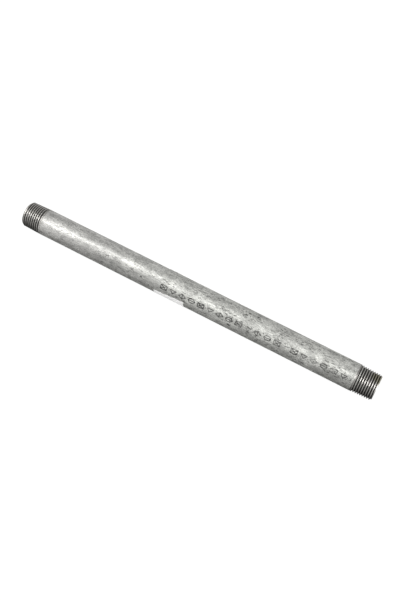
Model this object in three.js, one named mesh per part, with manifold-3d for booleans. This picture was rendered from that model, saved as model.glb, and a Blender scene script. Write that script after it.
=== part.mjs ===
// A threaded pipe nipple: one length of welded, galvanised steel pipe with a right-hand
// taper pipe thread cut on each end, and a paper label stuck round its underside.
// Millimetres. The pipe lies along X with its middle at the origin, and +Z is up.

import * as THREE from 'three';
import { mergeVertices } from 'three/addons/utils/BufferGeometryUtils.js';
import Module from 'manifold-3d';

// ---- Driving dimensions ----

// The pipe: a nominal half-inch steel tube
const PIPE_LENGTH = 304.8;
const PIPE_DIAMETER = 21.3;
const WALL = 2.6;

// The ridge of metal left inside the tube along its weld
const WELD_BEAD_HEIGHT = 0.3;
const WELD_BEAD_WIDTH = 1.6;
const WELD_BEAD_ANGLE = THREE.MathUtils.degToRad(35);

// The thread: 14 to the inch, 1 in 16 taper on the diameter, 55 degree form
const PITCH = 25.4 / 14;
const TAPER = 1 / 32;
const GAUGE_DIAMETER = 20.955;
const GAUGE_LENGTH = 8.2;
const FLANK_ANGLE = THREE.MathUtils.degToRad(27.5);
const THREAD_DEPTH = 0.6403 * PITCH;
const ROOT_FLAT = PITCH / 6;
const THREAD_TURNS = 10.5;
const OVERSHOOT = 0.95;
const RUN_OUT_TURNS = 1.7;

// The end faces: a flat ring between the outer chamfer and the deburred bore
const FACE_RADIUS = 9.05;
const DEBURR = 0.2;

// The label, stuck on slightly askew
const LABEL_LENGTH = 25.8;
const LABEL_WIDTH = 40;
const LABEL_THICKNESS = 0.12;
const LABEL_GLUE = 0.03;
const LABEL_MIDDLE_X = -15.5;
const LABEL_SKEW = THREE.MathUtils.degToRad(-4.9);

// How finely round surfaces are divided
const FACETS_PER_TURN = 32;
const LABEL_FACETS_ALONG = 4;
const LABEL_FACETS_ROUND = 36;

// How far a cutting tool stands past the metal that it cuts
const CUT_CLEARANCE = 0.15;
const BORE_CLEARANCE = 1;

// ---- Worked out from them ----

const HALF_LENGTH = PIPE_LENGTH / 2;
const PIPE_RADIUS = PIPE_DIAMETER / 2;
const BORE_RADIUS = PIPE_RADIUS - WALL;
const THREAD_LENGTH = THREAD_TURNS * PITCH - OVERSHOOT;
const FULL_DEPTH_LENGTH = THREAD_LENGTH - RUN_OUT_TURNS * PITCH;

// Radius over the thread's crests, at a distance in from the end face.
function crestRadius(fromEnd) {
  return GAUGE_DIAMETER / 2 + (fromEnd - GAUGE_LENGTH) * TAPER;
}

// ---- Solids ----

const wasm = await Module();
wasm.setup();

// Leaves only positions, joins vertices that coincide and drops faces that have closed up.
function welded(geometry) {
  geometry.deleteAttribute('normal');
  geometry.deleteAttribute('uv');
  const merged = mergeVertices(geometry);
  const index = merged.index.array;
  const kept = [];
  for (let i = 0; i < index.length; i += 3) {
    const [a, b, c] = index.slice(i, i + 3);
    if (a !== b && b !== c && c !== a) {
      kept.push(a, b, c);
    }
  }
  merged.setIndex(kept);
  return merged;
}

function toSolid(geometry) {
  const mesh = welded(geometry);
  return new wasm.Manifold(new wasm.Mesh({
    numProp: 3,
    vertProperties: mesh.attributes.position.array,
    triVerts: new Uint32Array(mesh.index.array),
  }));
}

function toGeometry(solid) {
  const mesh = solid.getMesh();
  const geometry = new THREE.BufferGeometry();
  geometry.setAttribute('position', new THREE.BufferAttribute(mesh.vertProperties, 3));
  geometry.setIndex(new THREE.BufferAttribute(mesh.triVerts, 1));
  geometry.computeVertexNormals();
  return geometry;
}

// Turns a profile of [radius, place along the pipe] points about the pipe's axis. Its
// facets are set half a facet round from the thread cutter's, so no two edges coincide.
function turned(profile) {
  const points = profile.map(([radius, along]) => new THREE.Vector2(radius, along));
  const geometry = new THREE.LatheGeometry(points, FACETS_PER_TURN);
  geometry.rotateZ(-Math.PI / 2);
  geometry.rotateX(Math.PI / FACETS_PER_TURN);
  return geometry;
}

// Bends a straight piece round the pipe. Its x runs along the pipe, its y out from the
// axis and its z round it. place gives each point's position along, radius and angle.
function wrapped(geometry, place) {
  const position = geometry.attributes.position;
  for (let i = 0; i < position.count; i++) {
    const [along, radius, angle] = place(
      position.getX(i), position.getY(i), position.getZ(i),
    );
    position.setXYZ(i, along, radius * Math.cos(angle), radius * Math.sin(angle));
  }
  return geometry;
}

// ---- The pipe ----

// A solid bar with the outside shape of the pipe: parallel in the middle, tapered to the
// thread's crests near each end, with a 45 degree chamfer down to the end face.
function outerBar() {
  const taperLength = GAUGE_LENGTH + (PIPE_RADIUS - GAUGE_DIAMETER / 2) / TAPER;
  const chamfer = (crestRadius(0) - FACE_RADIUS) / (1 - TAPER);
  return turned([
    [0, -HALF_LENGTH],
    [FACE_RADIUS, -HALF_LENGTH],
    [FACE_RADIUS + chamfer, -HALF_LENGTH + chamfer],
    [PIPE_RADIUS, -HALF_LENGTH + taperLength],
    [PIPE_RADIUS, HALF_LENGTH - taperLength],
    [FACE_RADIUS + chamfer, HALF_LENGTH - chamfer],
    [FACE_RADIUS, HALF_LENGTH],
    [0, HALF_LENGTH],
  ]);
}

// The inside of the tube: a round hole with the weld bead standing into it.
function bore() {
  const halfBead = WELD_BEAD_WIDTH / 2 / BORE_RADIUS;
  const start = WELD_BEAD_ANGLE + halfBead;
  const end = WELD_BEAD_ANGLE - halfBead + 2 * Math.PI;
  const beadRadius = BORE_RADIUS - 2 * WELD_BEAD_HEIGHT;
  const outline = new THREE.Shape();
  outline.absarc(0, 0, BORE_RADIUS, start, end, false);
  outline.quadraticCurveTo(
    beadRadius * Math.cos(WELD_BEAD_ANGLE),
    beadRadius * Math.sin(WELD_BEAD_ANGLE),
    BORE_RADIUS * Math.cos(start),
    BORE_RADIUS * Math.sin(start),
  );
  const depth = PIPE_LENGTH + 2 * BORE_CLEARANCE;
  const geometry = new THREE.ExtrudeGeometry(outline, {
    depth,
    bevelEnabled: false,
    curveSegments: FACETS_PER_TURN / 2,
  });
  geometry.translate(0, 0, -depth / 2);
  geometry.rotateY(Math.PI / 2);
  return geometry;
}

// A cone that takes the sharp inner edge off the end at +X.
function deburrCutter() {
  return turned([
    [0, HALF_LENGTH - DEBURR - BORE_RADIUS],
    [BORE_RADIUS + DEBURR + BORE_CLEARANCE, HALF_LENGTH + BORE_CLEARANCE],
    [0, HALF_LENGTH + BORE_CLEARANCE],
  ]);
}

// The thread's groove at the +X end: a tapered bar wound into a cone-shaped helix. It
// starts clear of the pipe at the run-out, sinks to full depth and leaves past the end.
function threadCutter() {
  const rootHalf = ROOT_FLAT / 2;
  const topHalf = rootHalf + (THREAD_DEPTH + CUT_CLEARANCE) * Math.tan(FLANK_ANGLE);
  const groove = new THREE.Shape();
  groove.moveTo(-rootHalf, -THREAD_DEPTH);
  groove.lineTo(rootHalf, -THREAD_DEPTH);
  groove.lineTo(topHalf, CUT_CLEARANCE);
  groove.lineTo(-topHalf, CUT_CLEARANCE);
  groove.closePath();
  const geometry = new THREE.ExtrudeGeometry(groove, {
    depth: 1,
    steps: THREAD_TURNS * FACETS_PER_TURN,
    bevelEnabled: false,
  });
  const runOut = THREAD_LENGTH - FULL_DEPTH_LENGTH;
  return wrapped(geometry, (across, out, progress) => {
    const fromEnd = THREAD_LENGTH - progress * THREAD_TURNS * PITCH;
    const shallow = THREE.MathUtils.clamp((fromEnd - FULL_DEPTH_LENGTH) / runOut, 0, 1);
    const radius = crestRadius(fromEnd) + shallow * THREAD_DEPTH + out;
    const angle = progress * THREAD_TURNS * 2 * Math.PI;
    return [HALF_LENGTH - fromEnd + across, radius, angle];
  });
}

// The same tool at the other end. Half a turn about Y keeps a right-hand thread
// right-handed.
function atOtherEnd(geometry) {
  return geometry.rotateY(Math.PI);
}

function pipe() {
  let solid = toSolid(outerBar());
  const cuts = [
    bore(),
    deburrCutter(),
    atOtherEnd(deburrCutter()),
    threadCutter(),
    atOtherEnd(threadCutter()),
  ];
  for (const cut of cuts) {
    solid = solid.subtract(toSolid(cut));
  }
  const mesh = new THREE.Mesh(toGeometry(solid), new THREE.MeshStandardMaterial({
    color: 0xb4b6b4,
    roughness: 0.45,
    metalness: 0.9,
  }));
  mesh.name = 'pipe';
  return mesh;
}

// ---- The label ----

// A rectangle of paper wrapped round the underside, a glue film away from the steel.
function label() {
  const sheet = new THREE.BoxGeometry(
    LABEL_LENGTH, LABEL_THICKNESS, LABEL_WIDTH,
    LABEL_FACETS_ALONG, 1, LABEL_FACETS_ROUND,
  );
  const middleRadius = PIPE_RADIUS + LABEL_GLUE + LABEL_THICKNESS / 2;
  const straightDown = -Math.PI / 2;
  const cos = Math.cos(LABEL_SKEW);
  const sin = Math.sin(LABEL_SKEW);
  const bent = wrapped(sheet, (x, y, z) => [
    LABEL_MIDDLE_X + x * cos - z * sin,
    middleRadius + y,
    straightDown + (x * sin + z * cos) / PIPE_RADIUS,
  ]);
  const geometry = welded(bent);
  geometry.computeVertexNormals();
  const mesh = new THREE.Mesh(geometry, new THREE.MeshStandardMaterial({
    color: 0xf0efe9,
    roughness: 0.85,
    metalness: 0,
  }));
  mesh.name = 'label';
  return mesh;
}

const nipple = new THREE.Group();
nipple.add(pipe(), label());

export default nipple;
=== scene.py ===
"""A galvanised steel pipe nipple with a paper label, lying on a pale studio floor.

The pipe is one closed mesh: a helical grid for each thread, a plain grid for the body,
and rings for the end faces and the bore. The label is a thin closed sheet. Lengths are in
millimetres until a mesh is made; the camera, the lights and the floor are in metres.
Angles are measured round +X, from +Y towards +Z.
"""

import math

import bmesh
import bpy
import numpy as np
from mathutils import Matrix, Vector


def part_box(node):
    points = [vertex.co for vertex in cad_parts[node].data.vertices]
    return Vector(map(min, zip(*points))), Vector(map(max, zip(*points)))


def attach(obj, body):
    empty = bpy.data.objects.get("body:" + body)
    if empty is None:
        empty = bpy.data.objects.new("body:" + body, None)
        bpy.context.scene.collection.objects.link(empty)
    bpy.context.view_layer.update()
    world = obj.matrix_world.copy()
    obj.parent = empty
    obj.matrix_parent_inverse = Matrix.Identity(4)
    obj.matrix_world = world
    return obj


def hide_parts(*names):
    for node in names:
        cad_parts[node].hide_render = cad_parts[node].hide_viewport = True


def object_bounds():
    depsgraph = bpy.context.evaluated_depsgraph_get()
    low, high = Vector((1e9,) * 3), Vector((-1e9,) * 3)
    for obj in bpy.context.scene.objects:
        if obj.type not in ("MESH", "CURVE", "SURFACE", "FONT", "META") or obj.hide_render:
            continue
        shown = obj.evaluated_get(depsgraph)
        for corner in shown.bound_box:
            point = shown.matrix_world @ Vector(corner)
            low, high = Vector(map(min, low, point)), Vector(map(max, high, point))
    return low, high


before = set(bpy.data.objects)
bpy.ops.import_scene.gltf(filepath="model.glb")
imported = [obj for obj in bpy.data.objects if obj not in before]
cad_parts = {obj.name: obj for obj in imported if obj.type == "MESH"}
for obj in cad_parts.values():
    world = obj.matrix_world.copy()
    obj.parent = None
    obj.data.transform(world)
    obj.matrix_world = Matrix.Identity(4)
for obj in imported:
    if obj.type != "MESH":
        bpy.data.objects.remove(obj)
cad_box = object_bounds()

MM = 0.001
TURN = 2 * math.pi

# ---- The pipe ----

PIPE_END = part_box("pipe")[1].x
HALF_LENGTH = PIPE_END / MM
PIPE_RADIUS = 10.65
BORE_RADIUS = 8.05
FACE_RADIUS = 9.05
DEBURR = 0.2

# The thread: 14 to the inch, 1 in 16 taper on the diameter, 55 degree form
PITCH = 25.4 / 14
TAPER = 1 / 32
GAUGE_RADIUS = 20.955 / 2
GAUGE_LENGTH = 8.2
FLANK_ANGLE = math.radians(27.5)
THREAD_DEPTH = 0.6403 * PITCH
ROOT_FLAT = PITCH / 6
THREAD_LENGTH = 10.5 * PITCH - 0.95
RUN_OUT = 1.7 * PITCH
FULL_DEPTH_LENGTH = THREAD_LENGTH - RUN_OUT
THREAD_GRID_LENGTH = THREAD_LENGTH + PITCH / 4
CREST_ROUNDING = 0.09
ROOT_ROUNDING = 0.08
CREST_WEAR = 0.015

# How far down the groove's flank, as a share of its depth, the zinc gives way to steel
GROOVE_CUT = (0.02, 0.09)

# Where the die has cut the tapered crests clear of zinc, and how far that edge wanders
CREST_CUT_LENGTH = GAUGE_LENGTH + (PIPE_RADIUS - GAUGE_RADIUS) / TAPER
CREST_CUT_WANDER = 0.7
CREST_CUT_BLUR = 0.3

# How far from each end face (-1 or +1) the die's leading teeth scraped the zinc off
SCRAPED_LENGTH = {-1: 16.2, 1: 17.4}
SCRAPED_WIDTH = 1.5
SCRAPED_WANDER = 0.12
SCRAPED_BLUR = 0.2
SCRAPED_DULLNESS = 0.4

# The zinc on the body, as depths below the pipe's full radius
ZINC_MEAN_DEPTH = 0.035
ZINC_LARGEST_DEPTH = 0.12
BROAD_LUMP_DEPTH = 0.02
FINE_LUMP_DEPTH = 0.008
LUMPS_FADE = 2.0

# The weld bead in the bore: its unevenness is a sum of waves, each with a share of its
# height, the waves' advance in radians per millimetre, and their start
BEAD_ANGLE = math.radians(35)
BEAD_HEIGHT = 0.3
BEAD_HALF_WIDTH = 0.9
BEAD_WAVES = ((0.2, 0.31, 0.0), (0.1, 0.83, 1.0))

# The row of stamped marks, on the side turned towards the camera: where it starts, the
# step from mark to mark, the extra gap between its two groups, and how many each group has
MARK_START = -25.5
MARK_PITCH = 8.0
MARK_GAP = 6.0
FIRST_GROUP = 13
SECOND_GROUP = 7
MARK_WIDTH = 5.8
MARK_HEIGHT = 3.8
MARK_STROKE = 0.37
MARK_DEPTH = 0.22

# Each mark leans, sits off the row and was struck less than fully, all by chance
MARK_LEAN = 0.12
MARK_SINK = 0.25
WEAKEST_MARK = 0.75
WEAKEST_STROKE = 0.85

# The angle of the row at one place along the pipe, and its drift for each millimetre
MARK_MIDDLE_X = 40.0
MARK_MIDDLE_ANGLE = math.radians(134)
MARK_DRIFT = math.radians(-0.045)

# The marks lose this share of their depth between these places, and are unevenly worn
MARK_FADE = 0.2
MARK_FADE_FROM = 15.0
MARK_FADE_TO = 60.0
MARK_WEAR_MEAN = 0.93
MARK_WEAR = 0.12
MARK_WEAR_LIMITS = (0.65, 1.1)

# The label, stuck on slightly askew
LABEL_LENGTH = 25.8
LABEL_WIDTH = 40.0
LABEL_THICKNESS = 0.12
LABEL_GLUE = 0.03
LABEL_MIDDLE_X = -15.5
LABEL_SKEW = math.radians(-4.9)
STRAIGHT_DOWN = -math.pi / 2

# How far the label stands off: everywhere, along its upper edge, and at one corner. Its
# ripple runs along the pipe, and sways as it goes round; both in radians per millimetre.
RIPPLE_LIFT = 0.05
RIPPLE_ADVANCE = 0.9
RIPPLE_SWAY = 0.6
RIPPLE_SWAY_ADVANCE = 0.35
EDGE_LIFT = 0.12
EDGE_LIFT_REACH = 3.0
CORNER_LIFT = 0.15
CORNER_LIFT_REACH = 7.0

# How finely the surfaces are divided. The finer rows and columns for the marks begin a
# lead before the first mark, and go a margin past them on each side.
SHARP_ANGLE = math.radians(50)
ROUND_STEPS = 132
SAMPLES_PER_PITCH = 12
BODY_ROW = 0.8
BODY_COLUMNS = 84
MARK_ROW = 0.4
MARK_COLUMN = 0.3
MARK_MARGIN = 0.8
MARK_LEAD = 1.0
BORE_ROW = 8.0
LABEL_COLUMNS = 51
LABEL_ROWS = 77
WELD_DIGITS = 5

# The pipe's surface laid out flat, as shares of a square map: each half of the outside
# takes one band of this height, and the bore takes the band that is left
MAP_NAME = "OFBake"
MAP_BAND = 0.44
MAP_SPARE = 0.01
MAP_EDGE = 2.0

# ---- The looks ----

# Each marking in the zinc is noise: its length along the pipe, its width round it, how
# many finer layers it has, and a shift that keeps it clear of the others
STREAK = (5.0, 0.65, 4.0, 0.0)
GRAIN = (0.8, 0.6, 2.0, 11.0)
BLOTCH = (12.0, 4.0, 3.0, 23.0)
SPECK = (2.4, 0.75, 2.5, 37.0)
CLUSTER = (14.0, 5.0, 1.0, 51.0)
PATCH = (4.5, 2.2, 2.5, 67.0)

# Noise seldom leaves this range, so it is stretched from here to the range wanted
NOISE_RANGE = (0.3, 0.7)

# Where a marking shows only at its peaks: it starts at the first value of its noise and
# is complete at the second. A few specks are left between their clusters.
SPECK_PEAKS = (0.53, 0.65)
CLUSTER_PEAKS = (0.38, 0.54)
CLUSTER_LEAST = 0.15
PATCH_PEAKS = (0.55, 0.68)

# The zinc is smoother and has fainter specks towards the end at -X: its texture and its
# specks grow from these shares to the full amount between these places
COARSE_FROM = -70.0
COARSE_TO = 20.0
COARSE_LEAST = 0.45
SPOTS_LEAST = 0.55

# The largest pits: place along the pipe, angle round it, and length. Each is an oval with
# a ragged edge.
PITS = (
    (34.4, math.radians(157), 5.6),
    (45.4, math.radians(69), 5.0),
    (43.8, math.radians(82), 4.0),
    (52.4, math.radians(67), 4.0),
    (-42.6, math.radians(139), 3.2),
)
PIT_WIDTH = 2.6
PIT_RAGGED = 0.3
PIT_EDGE = (0.3, 0.6)

# One patch is pitted all over: place, angle, length along the pipe and width round it
PITTED_PATCH = (-77.0, math.radians(127), 64.0, 16.0)
PITTED_PEAKS = (0.51, 0.6)

# A painted shade darkens the zinc beside the thread at +X: its place, angle, length and
# width, and how near its middle it starts and is complete
PAINTED_SHADE = (124.0, math.radians(166), 62.0, 20.0)
PAINTED_SHADE_EDGE = (0.0, 0.6)

# The zinc's brightness: first its own, then what each marking and the painted shade multiply it
# by
STREAK_TONE = (0.59, 0.75)
GRAIN_TONE = (0.74, 1.22)
BLOTCH_TONE = (0.8, 1.14)
SPOT_TONE = 0.34
PIT_TONE = 0.25
PATCH_TONE = 0.73
PAINTED_SHADE_TONE = 0.8
STAMP_TONE = 0.14
STAMP_EDGE = (0.14, 0.68)
COARSE_TONE = 0.96
BORE_TONE = (0.3, 0.42)
ZINC_TINT = (0.995, 1.0, 0.952, 1)
ZINC_TINT_LEFT = (1.01, 1.0, 0.965, 1)
TINT_FROM = -140.0
TINT_TO = 0.0

# Bare steel: brightest on the crests, and darker in the grooves, painted shade together with
# old oil
STEEL_TONE = (0.54, 0.66)
GROOVE_OIL_AND_SHADE_TONE = 0.28
GROOVE_OIL_AND_SHADE_EDGE = (0.12, 0.6)
STEEL_TINT = (1.0, 0.975, 0.93, 1)

# A brown stain on the thread at +X: its middle, and how far it fades out over
STAIN_PLACE = (151.5, 4.0, 9.2)
STAIN_TINT = (1.0, 0.95, 0.76, 1)
STAIN_TONE = 0.8
STAIN_INNER = 2.5
STAIN_OUTER = 7.0
STAIN_WANDER = 2.0

# How polished the metals are
ZINC_ROUGHNESS = (0.5, 0.38)
SPOT_ROUGHNESS = 0.15
COARSE_ROUGHNESS = 0.14
STEEL_ROUGHNESS = 0.36
ZINC_METALLIC = 0.85

# Heights of the fine relief, in millimetres
STREAK_RELIEF = 0.06
COARSE_STREAK_RELIEF = 0.035
GRAIN_RELIEF = 0.19
SPOT_RELIEF = 0.04
PIT_RELIEF = 0.06

# The label's paper, with plain rules near its upper edge
PAPER_FIBRE = (0.5, 0.5, 3.0, 0.0)
PAPER_TONE = (0.84, 0.92)
PAPER_TINT = (1.008, 1.0, 0.992)
PAPER_ROUGHNESS = 0.7
PAPER_RELIEF = 0.03
PAPER_BUMP = 0.3
RULE_SPACING = 1.5
RULE_EDGE = (0.55, 0.8)
RULES_END = (5.5, 6.0)
RULE_TONE = 0.72

# ---- The studio, in metres ----

# The camera stands straight out from a point just in from the pipe's end at +X, at this
# angle round the pipe, and is turned towards the pipe's middle
VIEW_ANGLE = math.radians(112.5)
CAMERA_INSET = 0.0082
CAMERA_DISTANCE = 0.6529
CAMERA_SIDE = -0.00056
CAMERA_TURN = math.radians(12)
LENS = 52.3
SENSOR = 36.0
CLIP_START = 0.01

FLOOR_SIZE = 8.0
FLOOR_GAP = 0.0002
FLOOR_TONE = 0.85
FLOOR_GLOW = 1.1
FLOOR_GLOW_SHARE = 0.85

# The surroundings, as light and in the metal: a sky over a ground that is darker towards
# +X. The two edges are cosines of the angle from the sky's middle, which leans back from
# straight up. The far ground's limits are the share of a direction that is along +X.
SKY_LIGHT = 0.52
GROUND_LIGHT = 0.15
FAR_GROUND_LIGHT = 0.035
FAR_GROUND_FROM = -0.3
FAR_GROUND_TO = 0.04
SKY_LEAN = math.radians(25)
GROUND_EDGE = -0.92
SKY_EDGE = -0.3

# The key light stands straight out from this place along the pipe
KEY_X = -0.35
KEY_DISTANCE = 1.3
KEY_ANGLE = math.radians(107)
KEY_LENGTH = 1.4
KEY_WIDTH = 0.7
KEY_POWER = 7.1

# The strip lights past each end (-1 or +1)
STRIP_X = 1.5
STRIP_RISE = 0.55
STRIP_HEIGHT = 1.2
STRIP_WIDTH = 0.45
STRIP_POWER = {-1: 15.0, 1: 11.5}

rng = np.random.default_rng(7)


# ---- Small numeric helpers ----

def soft_min(a, b, width):
    """The smaller of two values, with the change-over rounded over about this width."""
    low = np.minimum(a, b)
    return low - width * np.log1p(np.exp(-np.abs(a - b) / width))


def soft_positive(a, width):
    """a where it is above zero, else zero, with the corner rounded."""
    return np.where(a > 0, a, 0) + width * np.log1p(np.exp(-np.abs(a) / width))


def smooth_step(a, low, high):
    """0 below low, 1 above high, and a smooth rise between."""
    t = np.clip((a - low) / (high - low), 0, 1)
    return t * t * (3 - 2 * t)


def outward(angle):
    """The direction straight out from the pipe's axis at this angle."""
    return Vector((0, math.cos(angle), math.sin(angle)))


class Waves:
    """A smooth random field over the pipe's surface: a sum of seeded waves.

    length and girth are the usual lengths of a lump along and round the pipe.
    """

    def __init__(self, length, girth, count=40):
        self.along = rng.normal(0, 1, count) / length
        self.round = np.rint(rng.normal(0, 1, count) * PIPE_RADIUS / girth * TURN / 2)
        self.phase = rng.uniform(0, TURN, count)

    def __call__(self, x, angle):
        total = np.zeros(np.shape(x))
        for a, r, p in zip(self.along, self.round, self.phase):
            total = total + np.cos(a * x * math.pi + r * angle + p)
        return total / math.sqrt(len(self.phase))


broad_lumps = Waves(length=9, girth=6)
fine_lumps = Waves(length=2.5, girth=1.6)
thread_wear = Waves(length=5, girth=6)
mark_wear = Waves(length=3, girth=2)


# ---- The pipe's outer surface ----

def crest_radius(from_end):
    """Radius over the thread's crests, at a distance in from the end face."""
    return GAUGE_RADIUS + (from_end - GAUGE_LENGTH) * TAPER


def groove_radius(x, angle, end):
    """How far out the thread's groove lets the metal reach, at the end +1 or -1."""
    out = end * x
    first = HALF_LENGTH - THREAD_LENGTH + PITCH * end * angle / TURN
    offset = (out - first + PITCH / 2) % PITCH - PITCH / 2
    reach = np.inf
    for neighbour in (-PITCH, 0, PITCH):
        away = offset - neighbour
        middle_from_end = HALF_LENGTH - out + away
        shallow = np.clip((middle_from_end - FULL_DEPTH_LENGTH) / RUN_OUT, 0, 1)
        root = crest_radius(middle_from_end) - THREAD_DEPTH * (1 - shallow)
        rise = soft_positive(np.abs(away) - ROOT_FLAT / 2, ROOT_ROUNDING)
        reach = np.minimum(reach, root + rise / math.tan(FLANK_ANGLE))
    return reach


def threaded_radius(x, angle, end):
    """Outer radius, and how deep the point lies in the groove (0 crest, 1 root)."""
    from_end = HALF_LENGTH - end * x
    blank = np.minimum(crest_radius(from_end), PIPE_RADIUS)
    chamfer = FACE_RADIUS + from_end
    wear = CREST_WEAR * np.clip(thread_wear(x, angle), 0, 3)
    radius = soft_min(blank - wear, groove_radius(x, angle, end), CREST_ROUNDING)
    radius = np.minimum(radius, chamfer)
    depth = np.clip((np.minimum(blank, chamfer) - radius) / THREAD_DEPTH, 0, 1)
    return radius, depth


def scraped(x, angle, end):
    """1 on the band at the thread's run-out that the die's leading teeth scraped, else 0."""
    edge = SCRAPED_LENGTH[end] + SCRAPED_WANDER * thread_wear(x, angle)
    past = HALF_LENGTH - end * x - edge
    inner = smooth_step(past, -SCRAPED_WIDTH, -SCRAPED_WIDTH / 2)
    return inner * (1 - smooth_step(past, -SCRAPED_BLUR, SCRAPED_BLUR))


def bare_steel(x, angle, end, depth):
    """1 where the die took the zinc off: the tapered crests and the groove, else 0."""
    from_end = HALF_LENGTH - end * x
    edge = CREST_CUT_LENGTH + CREST_CUT_WANDER * thread_wear(x, angle)
    crest = 1 - smooth_step(from_end, edge - CREST_CUT_BLUR, edge + CREST_CUT_BLUR)
    return np.maximum(crest, smooth_step(depth, *GROOVE_CUT))


def body_radius(x, angle):
    """Outer radius of the galvanised body: zinc that ran and settled in shallow lumps."""
    lumps = BROAD_LUMP_DEPTH * broad_lumps(x, angle) + FINE_LUMP_DEPTH * fine_lumps(x, angle)
    from_end = HALF_LENGTH - np.abs(x)
    share = smooth_step(from_end, THREAD_LENGTH, THREAD_LENGTH + LUMPS_FADE)
    return PIPE_RADIUS - share * np.clip(ZINC_MEAN_DEPTH + lumps, 0, ZINC_LARGEST_DEPTH)


# ---- The stamped marks ----

def polygon(sides, turn=0.0, size=1.0):
    """The sides of a regular polygon, each as its two ends."""
    points = [
        (size * math.cos(turn + TURN * k / sides), size * math.sin(turn + TURN * k / sides))
        for k in range(sides + 1)
    ]
    return list(zip(points[:-1], points[1:]))


UPRIGHT = ((0, -1), (0, 1))
CROSSBAR = ((-1, 0), (1, 0))
SLOPES = [((-0.9, -0.9), (0.9, 0.9)), ((-0.9, 0.9), (0.9, -0.9))]
BOX_SIZE = 1.27

# Plain shapes that stand for no letter, used in this order over and over
MARKS = [
    polygon(4, TURN / 8, BOX_SIZE) + SLOPES,
    polygon(3, -TURN / 4),
    polygon(4) + [UPRIGHT],
    polygon(6) + [CROSSBAR],
]


def placed_strokes(shape, place):
    """One mark's strokes: each one's ends along and round the pipe, and how hard it struck."""
    faint = 1 - MARK_FADE * smooth_step(place, MARK_FADE_FROM, MARK_FADE_TO)
    force = rng.uniform(WEAKEST_MARK, 1.0) * faint
    lean = rng.uniform(-MARK_LEAN, MARK_LEAN)
    sink = rng.uniform(-MARK_SINK, MARK_SINK)
    strokes = []
    for ends in shape:
        points = [
            (
                place + MARK_WIDTH / 2 * (1 + across + lean * up),
                -MARK_HEIGHT / 2 * up + sink,
            )
            for across, up in ends
        ]
        strokes.append((points, force * rng.uniform(WEAKEST_STROKE, 1.0)))
    return strokes


def all_strokes():
    """Every stroke of the two groups of marks."""
    strokes = []
    place = MARK_START
    for group in (FIRST_GROUP, SECOND_GROUP):
        for number in range(group):
            strokes.extend(placed_strokes(MARKS[number % len(MARKS)], place))
            place += MARK_PITCH
        place += MARK_GAP
    return strokes


STROKES = all_strokes()


def mark_angle(x):
    """The angle at which the middle of the row of marks lies."""
    return MARK_MIDDLE_ANGLE + MARK_DRIFT * (x - MARK_MIDDLE_X)


def stamp_depth(x, angle):
    """How deep the stamped marks are at each point, from 0 to 1."""
    around = (angle - mark_angle(x)) * PIPE_RADIUS
    depth = np.zeros(np.shape(x))
    inside = (np.abs(around) < MARK_HEIGHT) & (x > MARK_START - 2 * MARK_LEAD)
    px, pa = x[inside], around[inside]
    best = np.zeros(len(px))
    for ((x0, a0), (x1, a1)), force in STROKES:
        dx, da = x1 - x0, a1 - a0
        t = np.clip(((px - x0) * dx + (pa - a0) * da) / (dx * dx + da * da), 0, 1)
        gap = np.hypot(px - x0 - t * dx, pa - a0 - t * da)
        best = np.maximum(best, force * np.exp(-((gap / MARK_STROKE) ** 2)))
    wear = MARK_WEAR_MEAN + MARK_WEAR * mark_wear(px, angle[inside])
    depth[inside] = best * np.clip(wear, *MARK_WEAR_LIMITS)
    return depth


# ---- Building meshes ----

class MeshMaker:
    """Collects points and faces, with a few named values for each point."""

    def __init__(self, *value_names):
        self.value_names = value_names
        self.points = []
        self.values = []
        self.faces = []
        self.count = 0

    def add(self, x, radius, angle, **values):
        """Adds points given in polar form and returns their numbers, in the same shape."""
        shape = np.broadcast(x, radius, angle).shape
        x, radius, angle = (np.broadcast_to(v, shape).ravel() for v in (x, radius, angle))
        self.points.append(np.stack([x, radius * np.cos(angle), radius * np.sin(angle)], 1))
        columns = [
            np.broadcast_to(values.get(name, 0.0), shape).ravel() for name in self.value_names
        ]
        self.values.append(np.stack(columns, 1))
        numbers = np.arange(self.count, self.count + len(x)).reshape(shape)
        self.count += len(x)
        return numbers

    def add_faces(self, *corners):
        """Four-sided faces from four arrays that hold their corners' numbers."""
        self.faces.extend(np.stack([c.ravel() for c in corners], 1).tolist())

    def closed_grid(self, rows):
        """Faces between neighbouring rows of a grid that closes on itself round the pipe."""
        after = np.roll(rows, -1, 1)
        self.add_faces(rows[:-1], rows[1:], after[1:], after[:-1])

    def open_grid(self, rows):
        """Faces between neighbouring rows of a grid with four free edges."""
        self.add_faces(rows[:-1, :-1], rows[1:, :-1], rows[1:, 1:], rows[:-1, 1:])

    def strip(self, low, low_angles, high, high_angles):
        """Triangles between two rings whose points don't line up."""
        i = j = 0
        while i < len(low) or j < len(high):
            next_low = low_angles[i + 1] if i + 1 < len(low) else TURN
            next_high = high_angles[j + 1] if j + 1 < len(high) else TURN
            a, b = low[i % len(low)], high[j % len(high)]
            if j >= len(high) or (i < len(low) and next_low <= next_high):
                self.faces.append([a, b, low[(i + 1) % len(low)]])
                i += 1
            else:
                self.faces.append([a, b, high[(j + 1) % len(high)]])
                j += 1

    def build(self, name):
        """A Blender mesh, with points that coincide joined and closed-up faces dropped."""
        points = np.concatenate(self.points)
        values = np.concatenate(self.values)
        _, first, same = np.unique(
            np.round(points, WELD_DIGITS), axis=0, return_index=True, return_inverse=True,
        )
        same = same.ravel()
        faces = []
        for face in self.faces:
            joined = [int(same[p]) for p in face]
            kept = [p for k, p in enumerate(joined) if p != joined[k - 1]]
            if len(kept) > 2:
                faces.append(kept)
        mesh = bpy.data.meshes.new(name)
        mesh.from_pydata((points[first] * MM).tolist(), [], faces)
        for column, value_name in enumerate(self.value_names):
            attribute = mesh.attributes.new(value_name, "FLOAT", "POINT")
            attribute.data.foreach_set("value", values[first, column].astype(np.float32))
        return mesh


# ---- The pipe's mesh ----

def round_angles():
    return np.arange(ROUND_STEPS) * TURN / ROUND_STEPS


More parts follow.
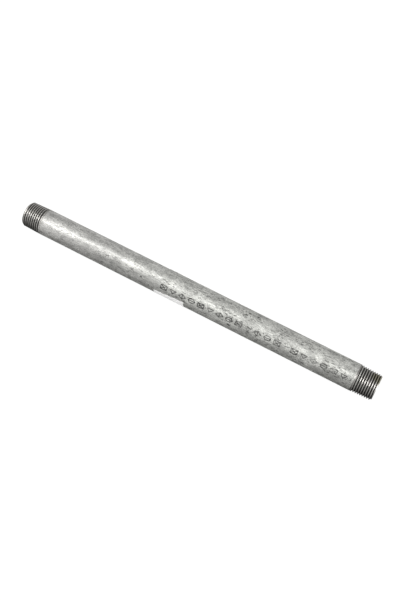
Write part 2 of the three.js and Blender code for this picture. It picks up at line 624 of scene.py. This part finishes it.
def helical_grid(maker, end):
    """One threaded end. Rows run along the helix, so crests and roots stay crisp.

    Rows are cut off square at the end face and at the run-out; points past either are
    pulled back on to it, and the faces that close up there are dropped. Returns the two
    end rings, inner first.
    """
    inner = HALF_LENGTH - THREAD_GRID_LENGTH
    angles = round_angles()
    rows = int(math.ceil((HALF_LENGTH - inner) / PITCH + 1)) * SAMPLES_PER_PITCH
    row = np.arange(rows + 1)[:, None] / SAMPLES_PER_PITCH
    step = angles[None, :] / TURN
    out = inner + PITCH * (row - (1 - step if end > 0 else step))
    out = np.clip(out, inner, HALF_LENGTH)
    grid_angles = np.broadcast_to(angles[None, :], out.shape)
    x = end * out
    radius, depth = threaded_radius(x, grid_angles, end)
    band = scraped(x, grid_angles, end)
    bare = np.maximum(bare_steel(x, grid_angles, end, depth), band)
    # The groove value darkens the steel: painted shade and old oil by depth, and the scraped
    # band as dull cut steel
    dark = np.maximum(depth, SCRAPED_DULLNESS * band)
    numbers = maker.add(x, radius, grid_angles, thread=bare, groove=dark)
    wrap = SAMPLES_PER_PITCH if end > 0 else -SAMPLES_PER_PITCH
    last = np.clip(np.arange(rows + 1) + wrap, 0, rows)
    after = np.concatenate([numbers[:, 1:], numbers[last, :1]], 1)
    corners = (numbers[:-1], numbers[1:], after[1:], after[:-1])
    maker.add_faces(*(corners if end > 0 else corners[::-1]))
    return numbers[0], numbers[-1]


def body_angles():
    """Columns round the body: close together under the stamped marks, wider elsewhere."""
    drift = abs(MARK_DRIFT) * (HALF_LENGTH - THREAD_LENGTH - MARK_MIDDLE_X)
    half_band = (MARK_HEIGHT / 2 + MARK_MARGIN) / PIPE_RADIUS + drift / 2
    low = MARK_MIDDLE_ANGLE - drift / 2 - half_band
    high = MARK_MIDDLE_ANGLE - drift / 2 + half_band
    coarse = TURN / BODY_COLUMNS
    fine = MARK_COLUMN / PIPE_RADIUS
    return np.concatenate([
        np.linspace(0, low, round(low / coarse), endpoint=False),
        np.linspace(low, high, round((high - low) / fine), endpoint=False),
        np.linspace(high, TURN, round((TURN - high) / coarse), endpoint=False),
    ])


def body_places():
    """Rows along the body: close together under the stamped marks, wider elsewhere."""
    edge = HALF_LENGTH - THREAD_GRID_LENGTH - BODY_ROW / 2
    low = MARK_START - MARK_LEAD
    return np.concatenate([
        np.linspace(-edge, low, round((low + edge) / BODY_ROW), endpoint=False),
        np.linspace(low, edge, round((edge - low) / MARK_ROW) + 1),
    ])


def bore_radius(x, angle):
    """The inside wall, with the weld bead standing a little unevenly into it."""
    away = (angle - BEAD_ANGLE + math.pi) % TURN - math.pi
    bead = BEAD_HEIGHT * np.exp(-((away * BORE_RADIUS / BEAD_HALF_WIDTH) ** 2))
    uneven = 1
    for share, advance, start in BEAD_WAVES:
        uneven = uneven + share * np.cos(x * advance + start)
    return BORE_RADIUS - bead * uneven


def close_end(maker, outer_ring, end):
    """The flat ring of an end face and the deburred edge. Returns the bore's first ring."""
    angles = round_angles()
    face = maker.add(end * HALF_LENGTH, BORE_RADIUS + DEBURR, angles, thread=1.0)
    inside = end * (HALF_LENGTH - DEBURR)
    edge = maker.add(inside, bore_radius(inside, angles), angles, thread=1.0, bore=0.5)
    maker.closed_grid(np.stack([outer_ring, face, edge]))
    return edge


def pipe_mesh():
    """The whole pipe. thread, groove, stamp and bore say where each surface is."""
    maker = MeshMaker("thread", "groove", "stamp", "bore")
    angles = body_angles()
    x, angle = np.broadcast_arrays(body_places()[:, None], angles[None, :])
    stamp = stamp_depth(x, angle)
    body = maker.add(x, body_radius(x, angle) - MARK_DEPTH * stamp, angle, stamp=stamp)
    maker.closed_grid(body)
    left_inner, left_outer = helical_grid(maker, -1)
    right_inner, right_outer = helical_grid(maker, 1)
    maker.strip(body[0], angles, left_inner, round_angles())
    maker.strip(body[-1], angles, right_inner, round_angles())
    left_edge = close_end(maker, left_outer, -1)
    right_edge = close_end(maker, right_outer, 1)
    reach = HALF_LENGTH - DEBURR
    places = np.linspace(-reach, reach, round(2 * reach / BORE_ROW) + 1)[1:-1, None]
    places, around = np.broadcast_arrays(places, round_angles()[None, :])
    wall = maker.add(places, bore_radius(places, around), around, bore=1.0)
    maker.closed_grid(np.concatenate([left_edge[None, :], wall, right_edge[None, :]]))
    return maker.build("threaded_pipe")


def lay_out_pipe(mesh):
    """Gives the pipe a UV map: along the pipe across the map, round it up the map."""
    count = len(mesh.loops)
    corners = np.empty(count, int)
    mesh.loops.foreach_get("vertex_index", corners)
    starts = np.empty(len(mesh.polygons), int)
    mesh.polygons.foreach_get("loop_start", starts)
    sizes = np.diff(np.append(starts, count))
    places = np.empty(len(mesh.vertices) * 3)
    mesh.vertices.foreach_get("co", places)
    x, y, z = (places.reshape(-1, 3)[corners] / MM).T
    radius = np.hypot(y, z)
    turns = np.arctan2(z, y) / TURN % 1
    turns[turns < np.repeat(np.maximum.reduceat(turns, starts), sizes) - 0.5] += 1
    along = x + np.sign(x) * np.clip(FACE_RADIUS - radius, 0, None)
    middle = np.repeat(np.add.reduceat(x, starts) / sizes, sizes)
    outermost = np.repeat(np.maximum.reduceat(radius, starts), sizes)
    in_bore = outermost < BORE_RADIUS + DEBURR / 2
    right = middle > 0
    u = (along + np.where(right, 0, HALF_LENGTH) + MAP_EDGE) / (HALF_LENGTH + 2 * MAP_EDGE)
    v = right * MAP_BAND + turns * (MAP_BAND - MAP_SPARE)
    bore_u = (x + HALF_LENGTH + MAP_EDGE) / (2 * HALF_LENGTH + 2 * MAP_EDGE)
    bore_v = 2 * MAP_BAND + turns * (1 - 2 * MAP_BAND - MAP_SPARE)
    flat = np.stack([np.where(in_bore, bore_u, u), np.where(in_bore, bore_v, v)], 1)
    mesh.uv_layers.new(name=MAP_NAME).data.foreach_set("uv", flat.ravel())


# ---- The label's mesh ----

def label_mesh():
    """A thin sheet bent round the underside, with a corner and one edge just lifting."""
    maker = MeshMaker("sheet_v")
    half_length = LABEL_LENGTH / 2
    half_width = LABEL_WIDTH / 2
    along = np.linspace(-half_length, half_length, LABEL_COLUMNS)[:, None]
    around = np.linspace(-half_width, half_width, LABEL_ROWS)[None, :]
    along, around = np.broadcast_arrays(along, around)
    cos, sin = math.cos(LABEL_SKEW), math.sin(LABEL_SKEW)
    x = LABEL_MIDDLE_X + along * cos - around * sin
    angle = STRAIGHT_DOWN + (along * sin + around * cos) / PIPE_RADIUS
    upper = smooth_step(-around, half_width - EDGE_LIFT_REACH, half_width)
    tip = half_length + half_width
    corner = smooth_step(along - around, tip - CORNER_LIFT_REACH, tip)
    sway = RIPPLE_SWAY * np.sin(around * RIPPLE_SWAY_ADVANCE)
    ripple = (1 + np.sin(along * RIPPLE_ADVANCE + sway)) / 2
    lift = RIPPLE_LIFT * ripple + EDGE_LIFT * upper * ripple + CORNER_LIFT * corner
    inner = PIPE_RADIUS + LABEL_GLUE + lift
    sheets = [
        maker.add(x, inner + LABEL_THICKNESS, angle, sheet_v=around),
        maker.add(x, inner, angle, sheet_v=around),
    ]
    for sheet in sheets:
        maker.open_grid(sheet)
    rims = [np.concatenate([s[0], s[1:, -1], s[-1, -2::-1], s[-2:0:-1, 0]]) for s in sheets]
    maker.closed_grid(np.stack(rims))
    return maker.build("paper_label")


def finish_piece(mesh, node, material):
    """Makes the mesh an object that rides on the part and stands for a CAD node."""
    tool = bmesh.new()
    tool.from_mesh(mesh)
    bmesh.ops.recalc_face_normals(tool, faces=tool.faces)
    tool.to_mesh(mesh)
    tool.free()
    mesh.shade_smooth()
    mesh.set_sharp_from_angle(angle=SHARP_ANGLE)
    mesh.materials.append(material)
    piece = bpy.data.objects.new(mesh.name, mesh)
    bpy.context.scene.collection.objects.link(piece)
    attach(piece, "root")
    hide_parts(node)


# ---- Materials ----

class Graph:
    """A short way to write the nodes of a material or a world."""

    def __init__(self, owner):
        owner.use_nodes = True
        self.tree = owner.node_tree
        self.tree.nodes.clear()

    def add(self, kind, inputs=None, **settings):
        node = self.tree.nodes.new(kind)
        for name, value in settings.items():
            setattr(node, name, value)
        for name, value in (inputs or {}).items():
            if isinstance(value, bpy.types.NodeSocket):
                self.tree.links.new(value, node.inputs[name])
            else:
                node.inputs[name].default_value = value
        return node

    def math(self, operation, a, b=0.0):
        return self.add("ShaderNodeMath", {0: a, 1: b}, operation=operation).outputs[0]

    def value(self, name):
        """One of the mesh's named values."""
        return self.add("ShaderNodeAttribute", attribute_name=name).outputs["Fac"]

    def millimetres(self):
        """The place on the object, in millimetres."""
        place = self.add("ShaderNodeTexCoord").outputs["Object"]
        scale = {0: place, 1: (1 / MM, 1 / MM, 1 / MM)}
        return self.add("ShaderNodeVectorMath", scale, operation="MULTIPLY").outputs[0]

    def noise(self, place, along, across, detail, shift):
        """Noise from 0 to 1 with lumps of about these sizes along and across the pipe."""
        scaled = self.add(
            "ShaderNodeVectorMath",
            {0: place, 1: (1 / along, 1 / across, 1 / across), 2: (shift, shift, shift)},
            operation="MULTIPLY_ADD",
        ).outputs[0]
        inputs = {"Vector": scaled, "Scale": 1.0, "Detail": detail}
        return self.add("ShaderNodeTexNoise", inputs).outputs["Fac"]

    def fit(self, value, low, high, to_low=0.0, to_high=1.0):
        """Maps low..high to to_low..to_high, held at the ends, with a smooth change."""
        inputs = {
            "Value": value, "From Min": low, "From Max": high,
            "To Min": to_low, "To Max": to_high,
        }
        node = self.add("ShaderNodeMapRange", inputs, interpolation_type="SMOOTHSTEP")
        return node.outputs["Result"]

    def spread(self, noise, to_low, to_high):
        """Noise stretched to fill the range to_low..to_high."""
        return self.fit(noise, *NOISE_RANGE, to_low, to_high)

    def nearness(self, place, x, angle, length, width):
        """1 at a point of the pipe's surface, falling to 0 at the rim of an oval round it."""
        middle = Vector((x, 0, 0)) + PIPE_RADIUS * outward(angle)
        scale = Vector((2 / length, 2 / width, 2 / width))
        inputs = {0: place, 1: scale, 2: -middle * scale}
        scaled = self.add("ShaderNodeVectorMath", inputs, operation="MULTIPLY_ADD").outputs[0]
        away = self.add("ShaderNodeVectorMath", {0: scaled}, operation="LENGTH")
        return self.fit(away.outputs["Value"], 0.0, 1.0, 1.0, 0.0)

    def mix(self, factor, a, b):
        inputs = {0: factor, 6: a, 7: b}
        return self.add("ShaderNodeMix", inputs, data_type="RGBA").outputs[2]

    def shade(self, colour, amount):
        """A colour multiplied by a brightness."""
        if isinstance(colour, tuple):
            colour = colour[:3]
        inputs = {0: colour, "Scale": amount}
        return self.add("ShaderNodeVectorMath", inputs, operation="SCALE").outputs[0]

    def bump(self, height, strength, distance):
        inputs = {"Height": height, "Strength": strength, "Distance": distance}
        return self.add("ShaderNodeBump", inputs).outputs["Normal"]


def grey(value):
    return (value, value, value, 1)


class ZincMarkings:
    """The patterns that mark the zinc, and a painted shade, each as a value at every point of
    its surface.
    """

    def __init__(self, g, place):
        self.along = g.add("ShaderNodeSeparateXYZ", {0: place}).outputs["X"]
        self.streak = g.noise(place, *STREAK)
        self.grain = g.noise(place, *GRAIN)
        self.blotch = g.noise(place, *BLOTCH)
        self.patch = g.noise(place, *PATCH)
        self.coarse = g.fit(self.along, COARSE_FROM, COARSE_TO, COARSE_LEAST, 1.0)
        self.spots = self.find_spots(g, place)
        self.pits = self.find_pits(g, place)
        # A painted shade beside the thread at +X, darkest at its middle
        self.painted_shade = g.nearness(place, *PAINTED_SHADE)

    def find_spots(self, g, place):
        """1 in the dark specks, which lie in clusters and are fainter where zinc is smooth."""
        speck = g.fit(g.noise(place, *SPECK), *SPECK_PEAKS)
        cluster = g.fit(g.noise(place, *CLUSTER), *CLUSTER_PEAKS, CLUSTER_LEAST, 1.0)
        share = g.fit(self.coarse, COARSE_LEAST, 1.0, SPOTS_LEAST, 1.0)
        return g.math("MULTIPLY", g.math("MULTIPLY", speck, cluster), share)

    def find_pits(self, g, place):
        """1 in the few large pits and in the many small ones of the pitted patch, else 0."""
        small = g.fit(self.grain, *PITTED_PEAKS)
        pits = g.math("MULTIPLY", small, g.nearness(place, *PITTED_PATCH))
        ragged = g.spread(self.grain, -PIT_RAGGED, PIT_RAGGED)
        for x, angle, length in PITS:
            near = g.math("ADD", g.nearness(place, x, angle, length, PIT_WIDTH), ragged)
            pits = g.math("MAXIMUM", pits, g.fit(near, *PIT_EDGE))
        return pits


def zinc_and_steel():
    """Streaked zinc on the body, bare cut steel on the threads, darker zinc in the bore."""
    material = bpy.data.materials.new("zinc_and_steel")
    g = Graph(material)
    place = g.millimetres()
    marks = ZincMarkings(g, place)
    bore = g.value("bore")
    steel = g.math("MULTIPLY", g.value("thread"), g.math("SUBTRACT", 1.0, bore))
    zinc = g.math("SUBTRACT", 1.0, steel)
    rough = {0: steel, 2: zinc_roughness(g, marks), 3: STEEL_ROUGHNESS}
    shader = g.add("ShaderNodeBsdfPrincipled", {
        "Base Color": g.mix(steel, zinc_colour(g, marks, bore), steel_colour(g, marks, place)),
        "Metallic": g.fit(steel, 0.0, 1.0, ZINC_METALLIC, 1.0),
        "Roughness": g.add("ShaderNodeMix", rough).outputs[0],
        "Normal": g.bump(g.math("MULTIPLY", zinc_relief(g, marks), zinc), 1.0, MM),
    })
    g.add("ShaderNodeOutputMaterial", {"Surface": shader.outputs[0]})
    return material


def zinc_colour(g, marks, bore):
    """The zinc's colour, darkened by each marking in turn and by a painted shade beside the
    thread at +X; plain and darker in the bore.
    """
    tone = g.spread(marks.streak, *STREAK_TONE)
    for factor in (
        g.spread(marks.grain, *GRAIN_TONE),
        g.spread(marks.blotch, *BLOTCH_TONE),
        g.fit(marks.spots, 0.0, 1.0, 1.0, SPOT_TONE),
        g.fit(marks.pits, 0.0, 1.0, 1.0, PIT_TONE),
        g.fit(marks.patch, *PATCH_PEAKS, 1.0, PATCH_TONE),
        # the painted shade beside the thread at +X
        g.fit(marks.painted_shade, *PAINTED_SHADE_EDGE, 1.0, PAINTED_SHADE_TONE),
        g.fit(g.value("stamp"), *STAMP_EDGE, 1.0, STAMP_TONE),
        g.fit(marks.coarse, COARSE_LEAST, 1.0, 1.0, COARSE_TONE),
    ):
        tone = g.math("MULTIPLY", tone, factor)
    tint = g.mix(g.fit(marks.along, TINT_FROM, TINT_TO), ZINC_TINT_LEFT, ZINC_TINT)
    # The bore's zinc is plainer and darker than the body's
    darker_bore_zinc = g.shade(ZINC_TINT, g.spread(marks.blotch, *BORE_TONE))
    return g.mix(bore, g.shade(tint, tone), darker_bore_zinc)


def zinc_roughness(g, marks):
    """The zinc's roughness: least along the bright streaks, most in the specks."""
    rough = g.spread(marks.streak, *ZINC_ROUGHNESS)
    rough = g.math("ADD", rough, g.fit(marks.spots, 0.0, 1.0, 0.0, SPOT_ROUGHNESS))
    coarse = g.fit(marks.coarse, COARSE_LEAST, 1.0, 0.0, COARSE_ROUGHNESS)
    return g.math("ADD", rough, coarse)


def zinc_relief(g, marks):
    """The height of the zinc's fine relief, in millimetres."""
    streak = g.fit(marks.coarse, COARSE_LEAST, 1.0, STREAK_RELIEF, COARSE_STREAK_RELIEF)
    grain = g.math("MULTIPLY", marks.coarse, GRAIN_RELIEF)
    height = g.math("MULTIPLY", marks.streak, streak)
    height = g.math("ADD", height, g.math("MULTIPLY", marks.grain, grain))
    height = g.math("SUBTRACT", height, g.math("MULTIPLY", marks.spots, SPOT_RELIEF))
    return g.math("SUBTRACT", height, g.math("MULTIPLY", marks.pits, PIT_RELIEF))


def steel_colour(g, marks, place):
    """Bare steel, darkened in the grooves by painted shade and old oil, with a brown stain near
    the end at +X.
    """
    tone = g.spread(marks.grain, *STEEL_TONE)
    # Painted shade and old oil darken the grooves by their depth; the scraped band takes part
    # of this darkening
    groove = g.fit(g.value("groove"), *GROOVE_OIL_AND_SHADE_EDGE, 1.0, GROOVE_OIL_AND_SHADE_TONE)
    tone = g.math("MULTIPLY", tone, groove)
    from_stain = g.add(
        "ShaderNodeVectorMath", {0: place, 1: STAIN_PLACE}, operation="DISTANCE",
    ).outputs["Value"]
    wander = g.spread(marks.blotch, -STAIN_WANDER, STAIN_WANDER)
    stain = g.fit(g.math("ADD", from_stain, wander), STAIN_INNER, STAIN_OUTER, 1.0, 0.0)
    tone = g.math("MULTIPLY", tone, g.fit(stain, 0.0, 1.0, 1.0, STAIN_TONE))
    return g.mix(stain, g.shade(STEEL_TINT, tone), g.shade(STAIN_TINT, tone))


def label_paper():
    """White paper with a faint fibre and a few plain grey rules near its upper edge."""
    material = bpy.data.materials.new("label_paper")
    g = Graph(material)
    fibre = g.noise(g.millimetres(), *PAPER_FIBRE)
    from_edge = g.math("ADD", g.value("sheet_v"), LABEL_WIDTH / 2)
    wave = g.math("SINE", g.math("MULTIPLY", from_edge, TURN / RULE_SPACING))
    ruled = g.fit(from_edge, *RULES_END, 1.0, 0.0)
    rules = g.math("MULTIPLY", g.fit(wave, *RULE_EDGE), ruled)
    tone = g.spread(fibre, *PAPER_TONE)
    tone = g.math("MULTIPLY", tone, g.fit(rules, 0.0, 1.0, 1.0, RULE_TONE))
    shader = g.add("ShaderNodeBsdfPrincipled", {
        "Base Color": g.shade(PAPER_TINT, tone),
        "Roughness": PAPER_ROUGHNESS,
        "Normal": g.bump(fibre, PAPER_BUMP, PAPER_RELIEF * MM),
    })
    g.add("ShaderNodeOutputMaterial", {"Surface": shader.outputs[0]})
    return material


def floor_white():
    """Pale floor. Seen directly it is nearly white, so that only a faint shadow shows."""
    material = bpy.data.materials.new("floor_white")
    g = Graph(material)
    paint = g.add("ShaderNodeBsdfDiffuse", {"Color": grey(FLOOR_TONE)}).outputs[0]
    glow = g.add("ShaderNodeEmission", {"Color": grey(1.0), "Strength": FLOOR_GLOW}).outputs[0]
    seen = g.add("ShaderNodeLightPath").outputs["Is Camera Ray"]
    share = g.math("MULTIPLY", seen, FLOOR_GLOW_SHARE)
    shader = g.add("ShaderNodeMixShader", {0: share, 1: paint, 2: glow}).outputs[0]
    g.add("ShaderNodeOutputMaterial", {"Surface": shader})
    return material


# ---- The studio ----

def add_floor(height):
    mesh = bpy.data.meshes.new("floor")
    half = FLOOR_SIZE / 2
    corners = [(-half, -half), (half, -half), (half, half), (-half, half)]
    mesh.from_pydata([(x, y, height) for x, y in corners], [], [(0, 1, 2, 3)])
    mesh.materials.append(floor_white())
    floor = bpy.data.objects.new("floor", mesh)
    bpy.context.scene.collection.objects.link(floor)
    floor.visible_glossy = False


def add_world():
    """White where it is seen directly; as light, a soft sky over a dark ground."""
    world = bpy.data.worlds.new("studio")
    bpy.context.scene.world = world
    g = Graph(world)
    direction = g.add("ShaderNodeTexCoord").outputs["Generated"]
    middle = (0, math.sin(SKY_LEAN), math.cos(SKY_LEAN))
    up = g.add(
        "ShaderNodeVectorMath", {0: direction, 1: middle}, operation="DOT_PRODUCT",
    ).outputs["Value"]
    sideways = g.add("ShaderNodeSeparateXYZ", {0: direction}).outputs["X"]
    far = g.fit(sideways, FAR_GROUND_FROM, FAR_GROUND_TO)
    ground = g.mix(far, grey(GROUND_LIGHT), grey(FAR_GROUND_LIGHT))
    sky = g.mix(g.fit(up, GROUND_EDGE, SKY_EDGE), ground, grey(SKY_LIGHT))
    seen = g.add("ShaderNodeLightPath").outputs["Is Camera Ray"]
    colour = g.mix(seen, sky, grey(1.0))
    glow = g.add("ShaderNodeBackground", {"Color": colour}).outputs[0]
    g.add("ShaderNodeOutputWorld", {"Surface": glow})


def aim(thing, place, forward, up=Vector((0, 0, 1))):
    """Puts a camera or light at a place, looking along forward."""
    back = -forward.normalized()
    right = up.cross(back).normalized()
    over = back.cross(right)
    thing.matrix_world = Matrix((
        (right.x, over.x, back.x, place.x),
        (right.y, over.y, back.y, place.y),
        (right.z, over.z, back.z, place.z),
        (0, 0, 0, 1),
    ))


def add_area_light(name, length, width, power, place, forward, up):
    light = bpy.data.lights.new(name, "AREA")
    light.shape = "RECTANGLE"
    light.size = length
    light.size_y = width
    light.energy = power
    lamp = bpy.data.objects.new(name, light)
    bpy.context.scene.collection.objects.link(lamp)
    aim(lamp, place, forward, up)


def add_key():
    """The main light: a long softbox above the pipe, facing it."""
    out = outward(KEY_ANGLE)
    place = Vector((KEY_X, 0, 0)) + out * KEY_DISTANCE
    up = outward(KEY_ANGLE + TURN / 4)
    add_area_light("key", KEY_LENGTH, KEY_WIDTH, KEY_POWER, place, -out, up)


def add_end_strips():
    """An upright strip light past each end, in line with the key, that lights thread flanks."""
    out = outward(KEY_ANGLE)
    for end, power in STRIP_POWER.items():
        place = Vector((end * STRIP_X, 0, 0)) + out * STRIP_RISE
        forward = Vector((-end, 0, 0))
        add_area_light("end_strip", STRIP_WIDTH, STRIP_HEIGHT, power, place, forward, out)


def add_camera():
    """Looks across the pipe from above its end at +X, turned towards its middle."""
    camera = bpy.data.cameras.new("camera")
    camera.sensor_width = SENSOR
    camera.lens = LENS
    camera.clip_start = CLIP_START
    eye = bpy.data.objects.new("camera", camera)
    bpy.context.scene.collection.objects.link(eye)
    out = outward(VIEW_ANGLE)
    across = out.cross(Vector((1, 0, 0)))
    foot = Vector((PIPE_END - CAMERA_INSET, 0, 0)) + across * CAMERA_SIDE
    forward = Vector((-1, 0, 0)) * math.sin(CAMERA_TURN) - out * math.cos(CAMERA_TURN)
    aim(eye, foot + out * CAMERA_DISTANCE, forward)
    bpy.context.scene.camera = eye


# ---- Putting it together ----

pipe = pipe_mesh()
finish_piece(pipe, "pipe", zinc_and_steel())
lay_out_pipe(pipe)
finish_piece(label_mesh(), "label", label_paper())
add_floor(cad_box[0][2] - FLOOR_GAP)
add_world()
add_key()
add_end_strips()
add_camera()
bpy.context.scene.view_settings.view_transform = "Standard"
